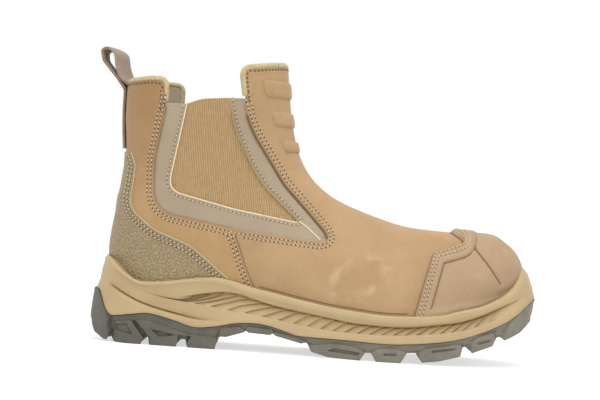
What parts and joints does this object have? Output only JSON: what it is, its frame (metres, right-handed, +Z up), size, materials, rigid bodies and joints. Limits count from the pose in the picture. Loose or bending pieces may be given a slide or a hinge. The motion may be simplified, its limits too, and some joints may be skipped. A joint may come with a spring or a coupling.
{
  "type": "side gore work boot",
  "caption": "Right pull-on ankle work boot: hollow leather upper with elastic side gores, toe cap, heel counter and pull loop, on a fluted midsole and lugged outsole.",
  "frame": {"origin": "on the floor, under the middle of the boot", "axes": "+X towards the toe, +Y towards the inner side of the foot, +Z up"},
  "size_m": [0.314, 0.1142, 0.2052],
  "materials": {
    "nubuck": "matt tan nubuck",
    "elastic": "ribbed elastic webbing",
    "trim_leather": "smooth grey-tan leather",
    "counter_leather": "pebbled khaki leather",
    "toe_rubber": "smooth matt rubber coating",
    "binding": "rolled binding",
    "tape": "woven tape",
    "midsole_foam": "moulded polyurethane, satin",
    "outsole_rubber": "moulded rubber, matt",
    "insole_foam": "textile-covered footbed"
  },
  "bodies": {
    "root": {"outsole": "outsole_rubber", "midsole": "midsole_foam", "insole": "insole_foam", "upper": "nubuck", "gore_outer": "elastic", "gore_inner": "elastic", "gore_trim_outer": "trim_leather", "gore_trim_inner": "trim_leather", "heel_counter": "counter_leather", "toe_cap": "toe_rubber", "pull_loop": "tape", "collar_binding_front": "binding", "collar_binding_rear": "binding"}
  },
  "joints": []
}
